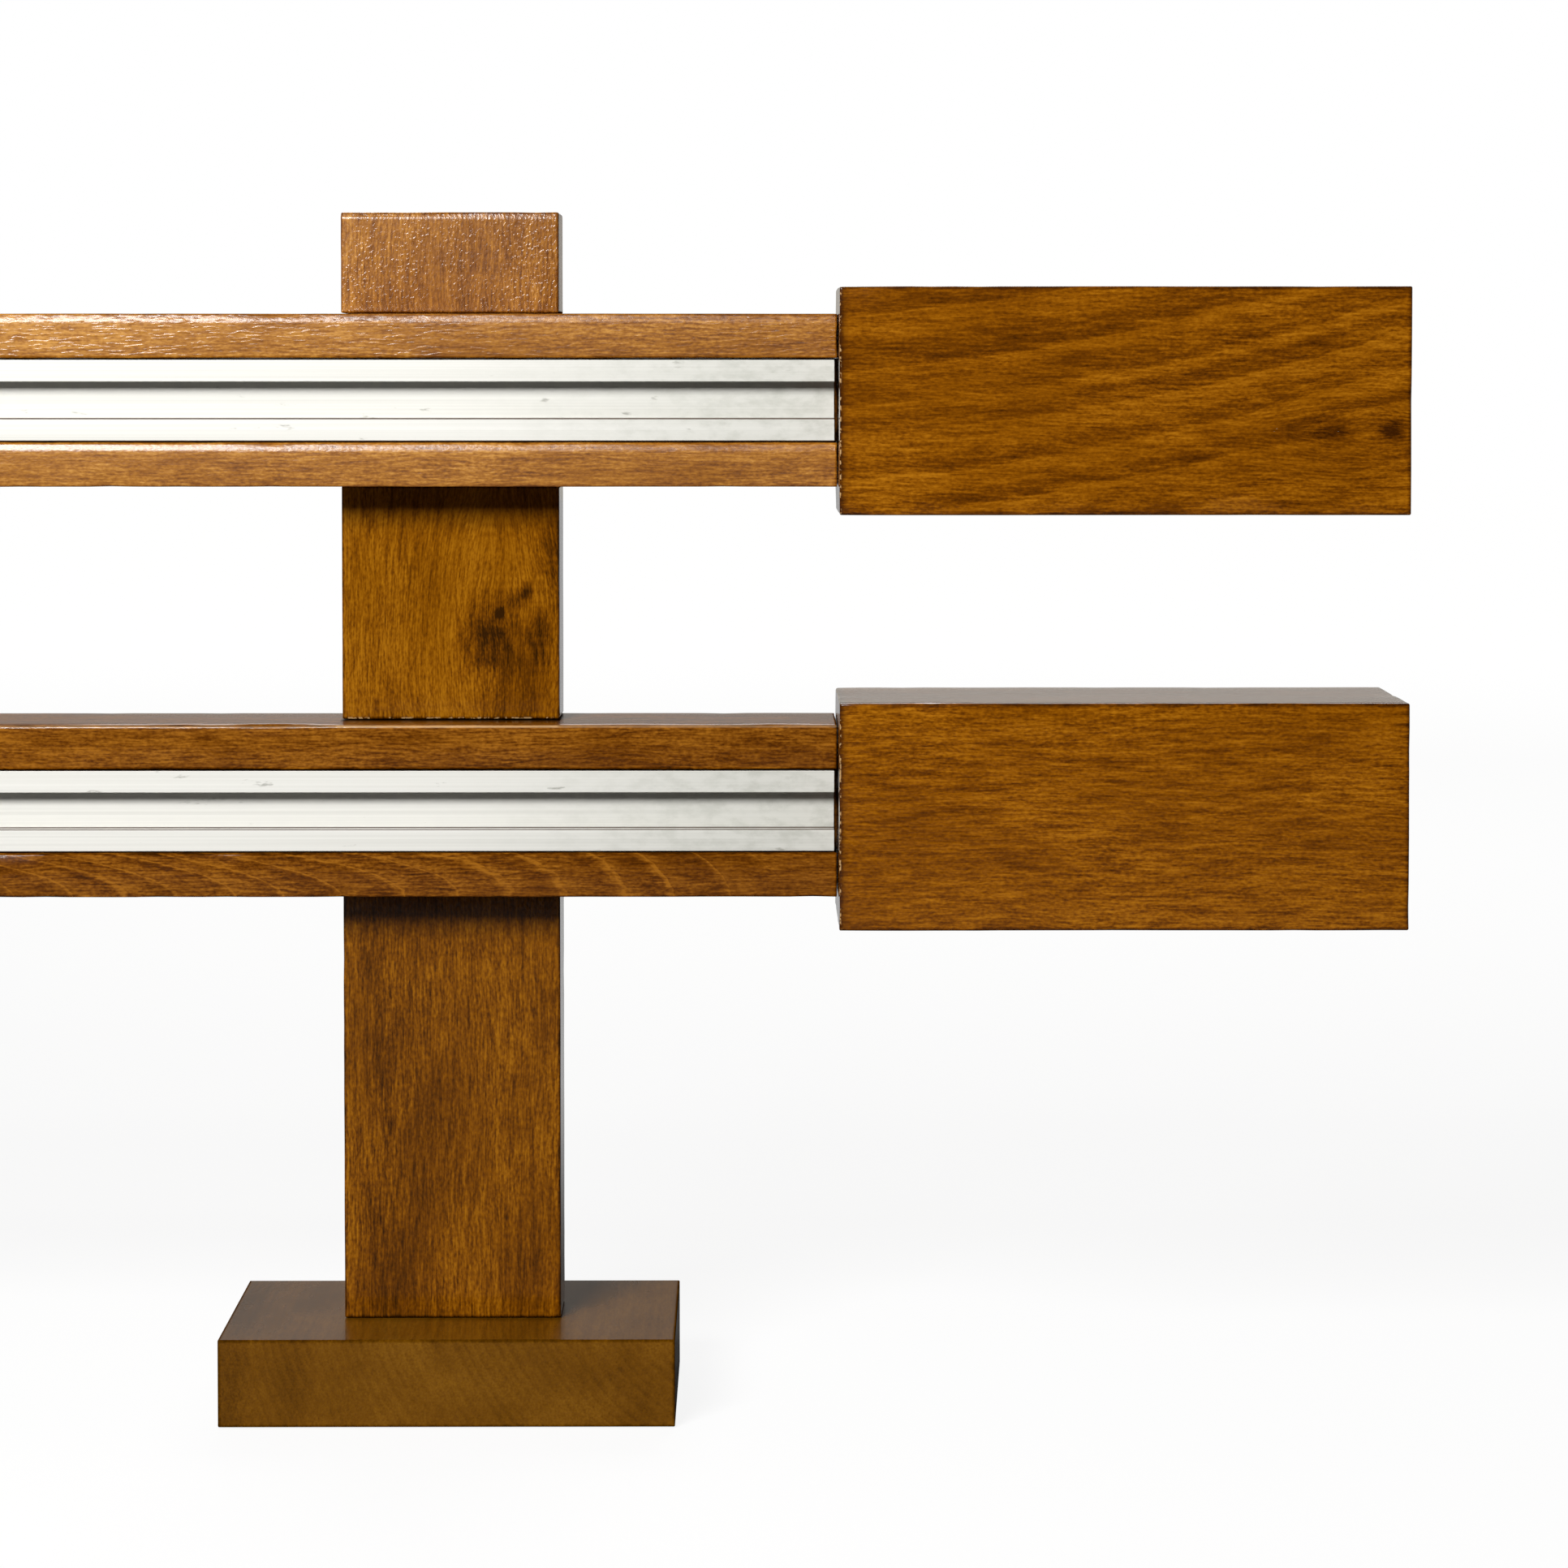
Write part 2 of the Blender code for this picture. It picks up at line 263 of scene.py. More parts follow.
def chipped_end(shader, color, place, edge, from_face, look):
    """Darker stain towards a cut end, and pale chips along its arris."""
    stained = shader.smooth(from_face, 0.0, look.get("chip_stain", 4.5 * MM), 0.6, 0.0)
    color = shader.mix(stained, color, END_STAIN)
    chip = shader.noise(place, (420, 420, 420), (look["seed"], 0, 0), 2, 0.6)
    by_edge = shader.smooth(edge, 0.5 * MM, 1.1 * MM, 1.0, 0.0)
    by_face = shader.smooth(from_face, 0.6 * MM, 1.6 * MM, 0.85, 0.0)
    return shader.mix(shader.product(shader.smooth(chip, 0.52, 0.6), by_edge, by_face), color, CHIPPED_WOOD)


def stood_on_top(shader, color, along, coarse, low, high):
    """A rail's top round its posts: a pale rubbed front arris that is also a painted highlight, painted shade
    under and just in front of each post, and dust on the varnish.
    """
    from_post = shader.gap(shader.math("ABSOLUTE", along), POST_X)
    under = shader.smooth(from_post, POST_HALF_WIDTH - 0.5 * MM, POST_HALF_WIDTH + 1 * MM, 1.0, 0.0)
    from_top = face_distance(shader, low, high, (2, 1))
    from_front = face_distance(shader, low, high, (1, -1))
    # A pale line along the front arris of the top, stronger under the posts: partly rubbed wood, partly a
    # painted highlight where the arris catches the key light.
    rub = shader.product(
        shader.math("MULTIPLY_ADD", under, 0.35, 0.3),
        shader.smooth(from_top, 0.5 * MM, 1.4 * MM, 1.0, 0.0),
        shader.smooth(from_front, 0.4 * MM, 1.0 * MM, 1.0, 0.0),
        shader.smooth(coarse, 0.3, 0.55, 0.6, 1.0),
    )
    color = shader.mix(rub, color, RUB_AND_HIGHLIGHT_WOOD)
    top = shader.smooth(from_top, 0.3 * MM, 0.7 * MM, 1.0, 0.0)
    # Painted shade: the top goes nearly black under each post and in the corner just in front of it, where
    # the post shades it, and loses most of its varnish there.
    corner_shade = shader.product(under, top, shader.smooth(from_front, 10 * MM, 25 * MM))
    color = shader.mix(shader.math("MULTIPLY", corner_shade, 0.9), color, CORNER_SHADE)
    dust = shader.math("MULTIPLY_ADD", top, -0.55, 1.0)
    return color, shader.product(dust, shader.math("MULTIPLY_ADD", corner_shade, -0.8, 1.0))


def timber_finish(name, box, axis, look):
    """Stained timber under varnish: growth rings, flecks, blotches, knots and pooled stain.

    look always holds stain, seed, ring (the rings' spacing), the strengths rings, flecks and blotch,
    and either pith, which is (across, through) from the board's centre, or flame, which gives nested
    tongues instead. The rest is optional. lean and curve turn the pith along the board. Knots are
    (along, across, radius along, radius across, depth). Faces, as in bare and chips, are
    (axis, end). pool is how wide the darker stain is by the edges. cover, sheen, rough, coat and the
    bumps set the varnish, and drips its beads.
    """
    shader = Shader(name)
    low, high = box
    seed = look["seed"]
    along, across, through = grain_axes(shader, axis, (low + high) / 2)
    place = shader.combine(along, across, through)
    drift = shader.noise(place, (9, 26, 26), (seed, 0, 0))
    swayed = shader.math("ADD", across, shader.centred(drift, SWAY))
    knots, swayed = knot_field(shader, place, along, across, swayed, look.get("knots", ()))

    grain = shader.combine(along, swayed, through)
    fine = shader.noise(grain, (110, 1100, 1100), (seed, seed, 0), 3, 0.6)
    speck = shader.noise(grain, (520, 1000, 1000), (seed, 0, 0), 2, 0.5)
    coarse = shader.noise(grain, (36, 330, 330), (0, seed, seed), 3, 0.6)
    blotch = shader.noise(place, (14, 34, 34), (seed, 0, seed), 3, 0.55)
    rings = growth_rings(shader, along, swayed, through, coarse, look)
    rings = shader.math("MULTIPLY", rings, shader.smooth(drift, 0.3, 0.7, 0.55, 1.3))

    flecks = look["flecks"]
    tone = shader.math("MULTIPLY_ADD", rings, -look["rings"], look.get("tone", 0.62))
    fleck_tone = shader.math("ADD", shader.centred(fine, 1.5 * flecks), shader.centred(speck, flecks))
    tone = shader.math("MULTIPLY_ADD", fleck_tone, shader.smooth(blotch, 0.36, 0.64, 0.75, 1.15), tone)
    tone = shader.math("ADD", tone, shader.centred(coarse, 0.8 * flecks))
    tone = shader.math("ADD", tone, shader.centred(blotch, look["blotch"]))
    tone = shader.math("SUBTRACT", tone, knots)
    # Painted light: paler towards the middle of the rail, for the light and sheen that part of the rail
    # catches.
    if "lit_middle" in look:
        from_middle = shader.math("ABSOLUTE", along)
        tone = shader.math("ADD", tone, shader.smooth(from_middle, 0.05, 0.5, look["lit_middle"], 0.0))
    edge = edge_distance(shader, low, high)
    pool = look.get("pool", 1.0 * MM)
    ragged_edge = shader.math("MULTIPLY_ADD", coarse, pool, edge)
    tone = shader.math("SUBTRACT", tone, shader.smooth(ragged_edge, 0.7 * pool, 2.0 * pool, 0.3, 0.0))
    color = shader.ramp(tone, tuple(zip(STAIN_STOPS, STAIN[look["stain"]])))

    cover = look.get("cover", 1.0)
    if "chips" in look:
        color = chipped_end(shader, color, place, edge, face_distance(shader, low, high, look["chips"]), look)
    if look.get("stood_on"):
        color, dulled_and_shaded = stood_on_top(shader, color, along, coarse, low, high)
        cover = shader.product(cover, dulled_and_shaded)
    if look.get("dull_edges"):
        cover = shader.product(cover, shader.smooth(edge, 0.5 * MM, 1.5 * MM))
    for face in look.get("bare", ()):
        away = face_distance(shader, low, high, face)
        cover = shader.product(cover, shader.smooth(away, 0.7 * MM, 1.1 * MM))

    peel = shader.noise(place, (220, 420, 420), (seed, 0, 0))
    normal = shader.bump(speck, 0.10 * MM, look.get("grain_bump", 0.4))
    normal = shader.bump(peel, 0.16 * MM, look.get("peel_bump", 0.3), normal)
    if "drips" in look:
        drops = shader.noise(place, look["drop_scale"], (0, seed, 0), 1, 0.4)
        beads = shader.smooth(drops, look.get("drop_share", 0.52), 0.68)
        beads = shader.math("MULTIPLY", beads, shader.smooth(drift, 0.42, 0.58, 0.3, 1.0))
        normal = shader.bump(beads, 0.2 * MM, look["drips"], normal)
    rough = look.get("rough", 0.24)
    return shader.finish(
        Base_Color=color,
        Roughness=shader.smooth(blotch, 0.3, 0.7, rough, rough + 0.1),
        Normal=normal,
        IOR=1.4,
        Specular_IOR_Level=shader.product(cover, look.get("sheen", 0.05)),
        Coat_Weight=cover,
        Coat_IOR=look.get("coat", 1.3),
        Coat_Roughness=look.get("coat_rough", 0.12),
        Coat_Normal=normal,
    )


def sloped(drop, width, slope):
    """How far a face has fallen back at a height below its upper edge: a straight slope, then a soft turn."""
    turn = width / 2
    if drop < width:
        return slope * (width - drop + turn / 2)
    return slope * max(0.0, width + turn - drop) ** 2 / (2 * turn) if turn else 0.0


def carry_wear(bm, low, high, arris, look, rough_faces):
    """Moves a board's vertices inwards a little: faint unevenness, worn arrises and ragged cut ends.

    look's waves and nicks scale the unevenness and the dents. Its crown is how far down from its
    upper edge a front or back face slopes, and how steeply.
    """
    seed = look["seed"]
    crown, slope = look.get("crown", (0.0, 0.0))
    for vertex in bm.verts:
        place = vertex.co.copy()
        gaps = [min(place[i] - low[i], high[i] - place[i]) for i in range(3)]
        near_edge = max(0.0, 1 - sorted(gaps)[1] / (3 * arris))
        wave = noise.noise(place * 40 + Vector((seed, 0, 0)))
        nick = max(0.0, noise.noise(place * 160 + Vector((0, seed, 0))) - 0.25)
        depth = look.get("waves", 1.0) * MM * (0.03 + 0.1 * near_edge) * (1 + wave)
        depth += look.get("nicks", 1.2) * MM * near_edge * nick
        for axis, end in rough_faces:
            face_gap = place[axis] - low[axis] if end < 0 else high[axis] - place[axis]
            if face_gap < 3 * arris:
                chip = noise.noise(place * 330 + Vector((seed, seed, 0)))
                depth += 0.35 * MM * max(0.0, chip + 0.1)
        for axis in range(3):
            middle = (low[axis] + high[axis]) / 2
            if gaps[axis] < 1.2 * arris:
                inward = 1 if place[axis] < middle else -1
                fallen = sloped(high.z - place.z, crown, slope) if axis == 1 else 0.0
                vertex.co[axis] += inward * (depth + fallen)


def bevel_edges(bm, grain, arris, end_arris, middle):
    """Rounds a board's edges: the long edges above middle by arris, and all others by end_arris.

    An upright board has no long edges that lie above middle, so all its long edges take arris.
    """

    def is_long(edge):
        return abs(edge.verts[0].co[grain] - edge.verts[1].co[grain]) > MM

    def round_off(edges, offset, segments=3):
        bmesh.ops.bevel(bm, geom=edges, offset=offset, segments=segments, profile=0.5, affect="EDGES")

    upper = [edge for edge in bm.edges if is_long(edge) and min(v.co.z for v in edge.verts) > middle]
    if upper:
        round_off(upper, arris, segments=4)
        round_off([e for e in bm.edges if is_long(e) and max(v.co.z for v in e.verts) < middle], end_arris)
    else:
        round_off([edge for edge in bm.edges if is_long(edge)], arris)
    round_off([edge for edge in bm.edges if not is_long(edge)], end_arris)


def cut_across(bm, low, high, arris, look):
    """Cuts a board's faces into small cells, finer by its edges and down its crown, for the wear to move."""
    for i in range(3):
        normal = Vector((0, 0, 0))
        normal[i] = 1
        flat_low, flat_high = low[i] + arris, high[i] - arris
        count = max(2, round((flat_high - flat_low) / CELL))
        cuts = [flat_low + 0.6 * MM, flat_high - 0.6 * MM]
        if i == 2 and "crown" in look:
            cuts += [high.z - look["crown"][0] * k / 6 for k in range(2, 10)]
        cuts += [flat_low + (flat_high - flat_low) * k / count for k in range(1, count)]
        for cut in cuts:
            geometry = bm.verts[:] + bm.edges[:] + bm.faces[:]
            bmesh.ops.bisect_plane(bm, geom=geometry, dist=1e-7, plane_co=normal * cut, plane_no=normal)


def add_piece(name, node, bm, material):
    """Turns bm into a piece that takes the place of its CAD node."""
    mesh = bpy.data.meshes.new(name)
    bm.to_mesh(mesh)
    bm.free()
    mesh.shade_smooth()
    mesh.materials.append(material)
    piece = bpy.data.objects.new(name, mesh)
    bpy.context.scene.collection.objects.link(piece)
    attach(piece, "root")
    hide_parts(node)
    return piece


def board(name, node, axis, look, arris, end_arris, rough_faces=()):
    """A finished board in a CAD board's place: rounded arrises, fine cross cuts and light wear."""
    low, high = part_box(node)
    low.z -= look.get("seat_below", 0.0)
    high.z += look.get("seat_above", 0.0)
    bm = bmesh.new()
    stretch = Matrix.Translation((low + high) / 2) @ Matrix.Diagonal((*(high - low), 1))
    bmesh.ops.create_cube(bm, size=1, matrix=stretch)
    bevel_edges(bm, "XYZ".index(axis), arris, end_arris, (low.z + high.z) / 2)
    cut_across(bm, low, high, arris, look)
    carry_wear(bm, low, high, arris, look, rough_faces)
    add_piece(name, node, bm, timber_finish(f"{name}_finish", (low, high), axis, look))


BLOCK = {
    "slot": "block_timber",
    "stain": "block",
    "ring": 14 * MM,
    "rings": 0.20,
    "flecks": 0.68,
    "blotch": 0.45,
    "pool": 1.4 * MM,
    "coat": 1.35,
}
POST = {
    "slot": "post_timber",
    "stain": "post",
    "ring": 11 * MM,
    "rings": 0.10,
    "flecks": 0.8,
    "blotch": 0.6,
    "bare": ((2, -1), (2, 1)),
}
RAIL = {
    "slot": "rail_timber",
    "stain": "rail",
    "ring": 7 * MM,
    "rings": 0.12,
    "flecks": 0.8,
    "blotch": 0.45,
    "pool": 0.7 * MM,
}
FOOT = {
    "slot": "foot_timber",
    "stain": "foot",
    "ring": 4.2 * MM,
    "rings": 0.07,
    "flecks": 0.32,
    "blotch": 0.7,
    "tone": 0.68,
    "pith": (0.168, 0.092),
    "knots": ((0.0, -0.086, 0.2, 0.012, 0.2), (0.0, -0.060, 0.2, 0.008, 0.1)),
    "cover": 0.8,
    "coat": 1.35,
    "coat_rough": 0.07,
    "grain_bump": 0.06,
    "peel_bump": 0.03,
    "waves": 0.1,
    "nicks": 0.0,
    "dull_edges": True,
}
# Satin varnish for the upper boards, with the paler stain that partly paints in the light they catch.
SATIN = {"stain": "pale_and_lit_upper", "sheen": 0.3, "rough": 0.4, "coat": 1.4, "coat_rough": 0.22, "grain_bump": 0.8}
UPPER_PLANK = RAIL | SATIN | {"crown": (2.8 * MM, 0.24), "drop_scale": (170, 960, 960)}
PLANK_SEAT = 0.28 * MM  # how much closer the planks sit to the core than the CAD's fit gap


def make_blocks():
    looks = {
        ("upper", "right"): dict(
            BLOCK,
            seed=3.1,
            pith=(0.16, 0.03),
            lean=0.20,
            curve=0.5,
            knots=(
                (0.082, -0.012, 0.009, 0.006, 0.34),
                (0.105, -0.012, 0.006, 0.0045, 0.5),
                (0.103, -0.011, 0.012, 0.008, 0.12),
            ),
        ),
        ("lower", "right"): dict(
            BLOCK, seed=7.7, pith=(0.02, 0.20), rings=0.12, flecks=0.75, lean=0.02, tone=0.55
        ),
        ("upper", "left"): dict(BLOCK, seed=12.9, pith=(0.15, 0.05), lean=0.12, curve=-0.3),
        ("lower", "left"): dict(BLOCK, seed=19.3, pith=(-0.03, 0.17), rings=0.14, lean=-0.03),
    }
    for (level, side), look in looks.items():
        inner = (0, -SIDES[side])
        look["chips"] = inner
        node = f"{level}_block_{side}"
        board(f"{node}_timber", node, "X", look, 0.6 * MM, 0.6 * MM, (inner,))


def make_posts():
    for side in SIDES:
        shift = 0.0 if side == "right" else 31.0  # gives the left-hand boards their own grain
        looks = {
            "lower_post": dict(POST, seed=21.5 + shift, pith=(0.03, 0.3), tone=0.54),
            "middle_post": dict(
                POST,
                seed=25.2 + shift,
                pith=(-0.02, 0.22),
                tone=0.71,
                seat_below=0.7 * MM,
                # The darker end-grain stain along the bottom end is partly painted shade, for the dark gap
                # beneath the post.
                chips=(2, -1),
                chip_stain=1.5 * MM,
                knots=(
                    (0.0045, 0.0306, 0.005, 0.0028, 0.5),
                    (-0.0045, 0.0200, 0.0035, 0.0026, 0.5),
                    (0.0010, 0.0258, 0.005, 0.0060, 0.30),
                    (-0.0125, 0.0150, 0.015, 0.012, 0.40),
                    (-0.0130, 0.0362, 0.012, 0.005, 0.38),
                    (-0.0245, 0.0220, 0.024, 0.020, 0.28),
                    (0.0230, 0.0420, 0.026, 0.007, 0.30),
                ),
            ),
            "top_post": dict(
                POST | SATIN,
                seed=28.4 + shift,
                pith=(0.05, 0.25),
                bare=((2, -1),),
                tone=0.54,
                drips=0.5,
                drop_share=0.45,
                drop_scale=(680, 920, 920),
                coat_rough=0.19,
                crown=(2.2 * MM, 0.22),
                knots=((0.0, 0.010, 0.03, 0.016, 0.16),),
            ),
        }
        for part, look in looks.items():
            rough = ((2, 1),) if part == "top_post" else ()
            board(f"{part}_{side}_timber", f"{part}_{side}", "Z", look, 0.6 * MM, 0.5 * MM, rough)


def make_rails():
    looks = {
        ("upper", "top_plank"): dict(
            UPPER_PLANK, seed=41.3, pith=(0.05, 0.12), drips=0.5, tone=0.5, lit_middle=0.32
        ),
        ("upper", "bottom_plank"): dict(
            UPPER_PLANK, seed=44.8, pith=(-0.06, 0.10), drips=0.12, tone=0.58, lit_middle=0.1
        ),
        ("lower", "top_plank"): dict(
            RAIL,
            seed=47.1,
            pith=(0.04, 0.15),
            lean=0.03,
            blotch=0.6,
            flecks=0.9,
            lit_middle=0.1,
            crown=(0.9 * MM, 0.35),
            stood_on=True,
        ),
        ("lower", "bottom_plank"): dict(
            RAIL, seed=52.6, flame=(0.50, 0.0225), rings=0.16, ring=22 * MM, uneven=0.8, pale=1.6
        ),
    }
    for (level, plank), look in looks.items():
        node = f"{level}_rail_{plank}"
        arris = (0.8 if level == "upper" else 0.5) * MM
        toward_core, seat = ((2, -1), "seat_below") if plank == "top_plank" else ((2, 1), "seat_above")
        look["bare"] = ((0, -1), (0, 1), toward_core)
        look[seat] = PLANK_SEAT
        board(f"{node}_timber", node, "X", look, arris, 0.25 * MM)


def make_feet():
    for side, seed in {"left": 73.9, "right": 61.7}.items():
        board(f"foot_{side}_timber", f"foot_{side}", "Y", dict(FOOT, seed=seed), 0.5 * MM, 0.5 * MM)


# Aluminium

CHANNEL_WALL = 2.0 * MM  # the wall and the mouth between the lips, as in the CAD
MOUTH = 14.7 * MM


def aluminium_finish(lip_edges):
    """Mill-finish extrusion: die lines along the bar and a few rubs, with painted shade greying the ends
    among scuffs and a painted line of shade and reflection along each lower lip.
    """
    shader = Shader("channel_aluminium")
    place, axes = shader.place(), shader.axes()
    lines = shader.noise(place, (2.5, 1500, 1500), detail=4, roughness=0.6)
    bands = shader.noise(place, (1.2, 260, 260))
    rub = shader.noise(place, (60, 240, 240), detail=4, roughness=0.6)
    scuff = shader.noise(place, (90, 180, 180), detail=5, roughness=0.65)
    tone = shader.math("ADD", shader.math("MULTIPLY", lines, 0.4), shader.math("MULTIPLY", bands, 0.6))
    pale, middle, dark = linear(243, 242, 238), linear(234, 233, 228), linear(220, 219, 213)
    color = shader.ramp(tone, ((0.3, dark), (0.5, middle), (0.7, pale)))
    # Painted shade: the bar greys towards its ends, where the blocks stand beside it, broken up by scuffs.
    toward_end = shader.smooth(shader.math("ABSOLUTE", axes[0]), 0.36, 0.535)
    dulled_and_shaded = shader.math("MULTIPLY", toward_end, shader.smooth(scuff, 0.4, 0.7, 0.28, 0.6))
    color = shader.mix(dulled_and_shaded, color, linear(190, 191, 181))
    color = shader.mix(shader.smooth(rub, 0.66, 0.75, 0.0, 0.45), color, linear(128, 126, 112))
    # Painted shade and reflection: a dark brown line along the top edge of each lower lip, for the shade in
    # the mouth and the wood mirrored in the lip.
    for lip_edge in lip_edges:
        lip_shade_line = shader.smooth(shader.gap(axes[2], lip_edge), 0.15 * MM, 0.4 * MM, 0.8, 0.0)
        color = shader.mix(lip_shade_line, color, linear(92, 70, 50))
    return shader.finish(
        Base_Color=color,
        Metallic=1.0,
        Roughness=shader.smooth(bands, 0.3, 0.7, 0.72, 0.78),
        Normal=shader.bump(lines, 0.03 * MM, 0.5),
    )


def rounded(corners, radius, steps=3):
    """The outline through corners, each turned into a small arc of the given radius."""
    outline = []
    count = len(corners)
    for i, corner in enumerate(corners):
        here = Vector(corner)
        back = (Vector(corners[i - 1]) - here).normalized()
        ahead = (Vector(corners[(i + 1) % count]) - here).normalized()
        centre = here + (back + ahead) * radius
        for k in range(steps + 1):
            turn = k / steps
            spoke = (-ahead * (1 - turn) - back * turn).normalized()
            outline.append(centre + spoke * radius)
    return outline


def make_channel(level, material):
    """The C-shaped extrusion in its CAD node's box, with eased corners."""
    node = f"{level}_channel"
    low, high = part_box(node)
    half = (high.z - low.z) / 2
    depth = high.y - low.y
    mouth = MOUTH / 2
    middle = (low.z + high.z) / 2
    upper = [
        (depth - CHANNEL_WALL, half - CHANNEL_WALL),
        (CHANNEL_WALL, half - CHANNEL_WALL),
        (CHANNEL_WALL, mouth),
        (0.0, mouth),
        (0.0, half),
        (depth, half),
    ]
    corners = upper + [(y, -z) for y, z in reversed(upper)]
    outline = rounded(corners, 0.3 * MM)
    bm = bmesh.new()
    lengths = 60
    rows = []
    for k in range(lengths + 1):
        x = low.x + (high.x - low.x) * k / lengths
        rows.append([bm.verts.new((x, low.y + point.x, middle + point.y)) for point in outline])
    for first, second in zip(rows, rows[1:]):
        for i in range(len(outline)):
            j = (i + 1) % len(outline)
            bm.faces.new((first[i], first[j], second[j], second[i]))
    bm.faces.new(rows[0])
    bm.faces.new(list(reversed(rows[-1])))
    bmesh.ops.recalc_face_normals(bm, faces=bm.faces[:])
    piece = add_piece(f"{node}_extrusion", node, bm, material)
    piece.data.set_sharp_from_angle(angle=math.radians(50))
    piece.modifiers.new("flat faces", "WEIGHTED_NORMAL").keep_sharp = True


# Hidden pieces, which keep their CAD shape


def plain_timber(name, axis, light, dark):
    shader = Shader(name)
    along, across, through = grain_axes(shader, axis, Vector((0, 0, 0)))
    place = shader.combine(along, across, through)
    fine = shader.noise(place, (60, 800, 800), detail=4, roughness=0.6)
    color = shader.ramp(fine, ((0.3, dark), (0.7, light)))
    normal = shader.bump(fine, 0.1 * MM, 0.5)
    return shader.finish(Base_Color=color, Roughness=0.8, Specular_IOR_Level=0.0, Normal=normal)


def steel_finish():
    shader = Shader("screw_steel")
    cloud = shader.noise(shader.place(), (600, 600, 600), detail=3, roughness=0.6)
    color = shader.ramp(cloud, ((0.3, linear(170, 172, 176)), (0.7, linear(205, 206, 208))))
    rough = shader.smooth(cloud, 0.3, 0.7, 0.25, 0.42)
    return shader.finish(Base_Color=color, Roughness=rough, Metallic=1.0)


def finish_hidden_pieces():
    cores = plain_timber("core_timber", "X", linear(138, 84, 24), linear(92, 50, 8))
    dowels = {
        # Painted shade: the post dowels are the end dowels' wood coloured nearly black, for the dark gaps
        # between the posts' pieces where they show.
        "post": plain_timber("post_dowel_shaded_timber", "Z", linear(52, 26, 6), linear(30, 14, 2)),
        "end": plain_timber("end_dowel_timber", "X", linear(222, 190, 140), linear(190, 150, 100)),
    }
    steel = steel_finish()
    for name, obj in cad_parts.items():
        if "post_dowel" in name:
            material = dowels["post"]
        elif "end_dowel" in name:
            material = dowels["end"]
        elif name.endswith("_core"):
            material = cores
        elif "screw" in name:
            material = steel
        else:
            continue
        obj.data.materials.clear()
        obj.data.materials.append(material)


# Studio

LENS = 107.26  # the camera's lens and sensor, in millimetres
SENSOR = 36.0
FRAME_SHIFT = -0.144  # moves the picture down, so that the foot is in it
CAMERA_PLACE = (0.5037, -1.899, 0.4268)
CAMERA_TILT = 2.5  # degrees downwards
CAMERA_TURN = -0.363
ROOM = 0.015  # brightness of the room behind the camera
BACKDROP = 0.5  # brightness of the backdrop, as the stand reflects it
BOUNCE = (1.0, 0.955, 0.87)  # tint of the backdrop's reflection
OVERHEAD = 0.38  # the share of it that is left higher up, at the left
OVERHEAD_RIGHT = 0.19
PAPER = 1.0  # brightness of the backdrop, as the camera sees it
FLOOR_GLINT = 0.45  # how bright the floor behind the stand looks in reflections
FLOOR_DROP = 0.5 * MM  # keeps the floor just clear of the feet


def make_camera():
    """A long lens a little above the rails, looking slightly down at the right-hand end."""
    data = bpy.data.cameras.new("camera")
    data.sensor_width = SENSOR
    data.lens = LENS
    data.shift_y = FRAME_SHIFT
    camera = bpy.data.objects.new("camera", data)
    camera.location = CAMERA_PLACE
    camera.rotation_euler = (math.radians(90 - CAMERA_TILT), 0, math.radians(CAMERA_TURN))
    bpy.context.scene.collection.objects.link(camera)
    bpy.context.scene.camera = camera


def softbox(name, place, target, size, watts):
    data = bpy.data.lights.new(name, "AREA")
    data.shape = "RECTANGLE"
    data.size, data.size_y = size
    data.energy = watts
    light = bpy.data.objects.new(name, data)
    light.location = place
    light.rotation_euler = (Vector(target) - Vector(place)).to_track_quat("-Z", "Y").to_euler()
    bpy.context.scene.collection.objects.link(light)


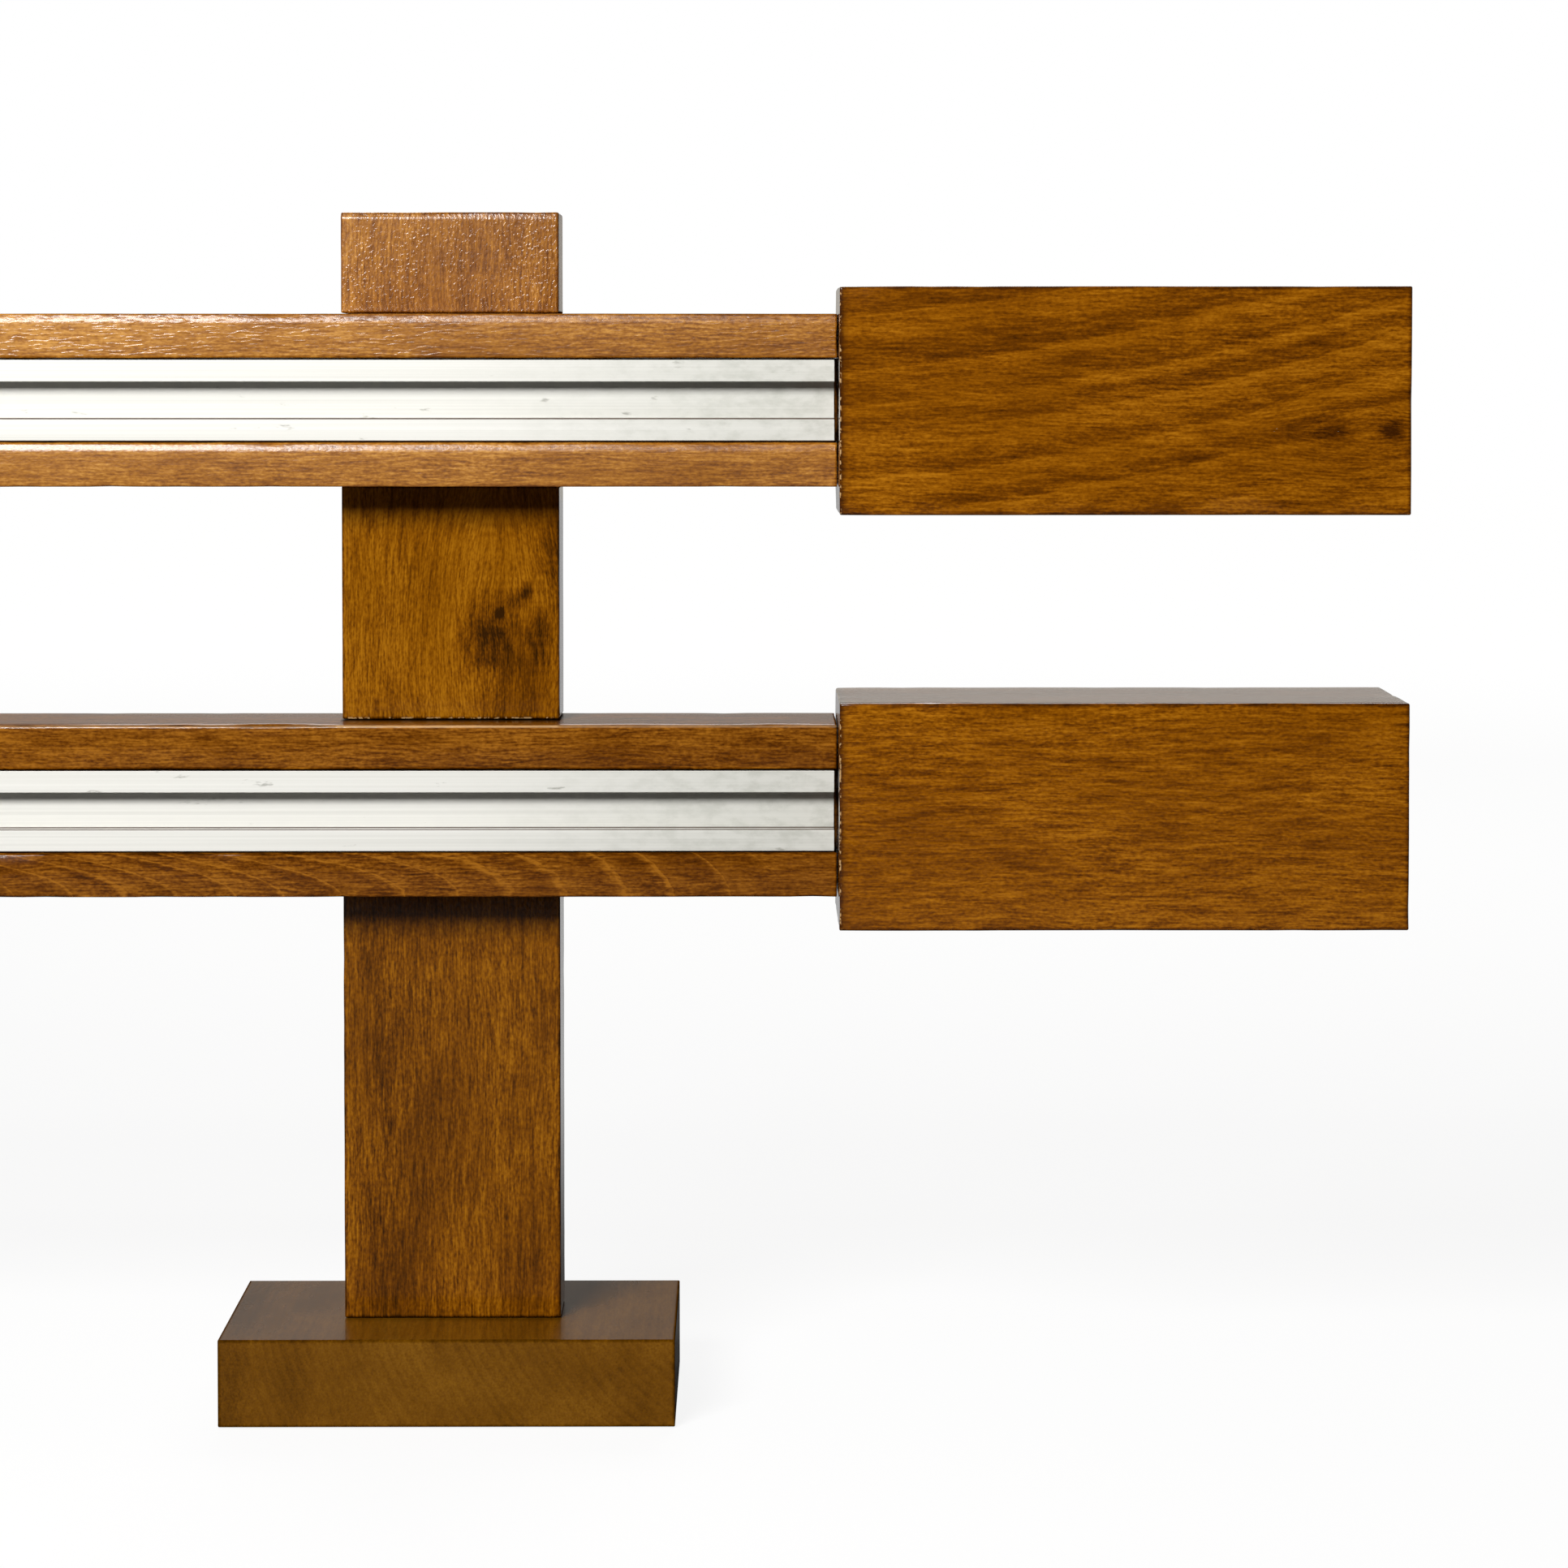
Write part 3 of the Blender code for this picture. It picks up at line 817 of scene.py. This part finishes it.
def make_world():
    """A dim room in front of the stand and a grey backdrop behind it, which the camera sees as white."""
    world = bpy.data.worlds.new("studio")
    bpy.context.scene.world = world
    world.use_nodes = True
    graph = Graph(world.node_tree)
    ways = graph.node("ShaderNodeTexCoord").outputs["Generated"]
    way_x, way_y, way_z = graph.node("ShaderNodeSeparateXYZ", {0: ways}).outputs
    depth = graph.smooth(way_y, -0.35, 0.35, ROOM, BACKDROP)
    overhead = graph.smooth(way_x, -0.11, 0.0, OVERHEAD, OVERHEAD_RIGHT)
    lit = graph.math("MULTIPLY", depth, graph.smooth(way_z, 0.03, 0.22, 1.0, overhead))
    seen = graph.node("ShaderNodeLightPath").outputs["Is Camera Ray"]
    strength = graph.node("ShaderNodeMix", {0: seen, 2: lit, 3: PAPER}).outputs[0]
    color = graph.mix(seen, (*BOUNCE, 1), (1, 1, 1))
    graph.set(world.node_tree.nodes["Background"], {"Color": color, "Strength": strength})


def floor_finish():
    """Pale paper: it glows a little where the lights fall off, and bounces little light back up."""
    shader = Shader("floor_paper")
    axes = shader.axes()
    glow = shader.smooth(shader.hypotenuse(axes[0], axes[1]), 0.6, 5.0, 0.88, 0.98)
    seen = shader.node("ShaderNodeLightPath").outputs["Is Camera Ray"]
    seen = shader.math("MAXIMUM", seen, shader.smooth(axes[1], 0.15, 0.9, 0.0, FLOOR_GLINT))
    grain = shader.noise(shader.combine(*axes), (900, 900, 900))
    return shader.finish(
        Base_Color=shader.ramp(grain, ((0.3, (0.095, 0.095, 0.095)), (0.7, (0.105, 0.105, 0.105)))),
        Roughness=0.9,
        Emission_Color=(1, 1, 1, 1),
        Emission_Strength=shader.math("MULTIPLY", glow, seen),
    )


def make_floor():
    bm = bmesh.new()
    bmesh.ops.create_grid(bm, x_segments=8, y_segments=8, size=14)
    mesh = bpy.data.meshes.new("floor")
    bm.to_mesh(mesh)
    bm.free()
    floor = bpy.data.objects.new("floor", mesh)
    floor.location.z = -FLOOR_DROP
    bpy.context.scene.collection.objects.link(floor)
    mesh.materials.append(floor_finish())


def make_studio():
    make_world()
    make_floor()
    softbox("key", (-0.4, -2.2, 1.55), (0.3, 0, 0.3), (1.0, 0.8), 92)
    softbox("back", (0.6, 2.4, 1.5), (0.2, 0, 0.3), (1.6, 1.0), 14)
    bpy.context.scene.view_settings.view_transform = "Standard"


make_camera()
make_studio()
make_blocks()
make_posts()
make_rails()
make_feet()
channel_middles = [sum(corner.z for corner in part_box(f"{level}_channel")) / 2 for level in LEVELS]
channel_material = aluminium_finish([middle - MOUTH / 2 for middle in channel_middles])
for channel_level in LEVELS:
    make_channel(channel_level, channel_material)
finish_hidden_pieces()
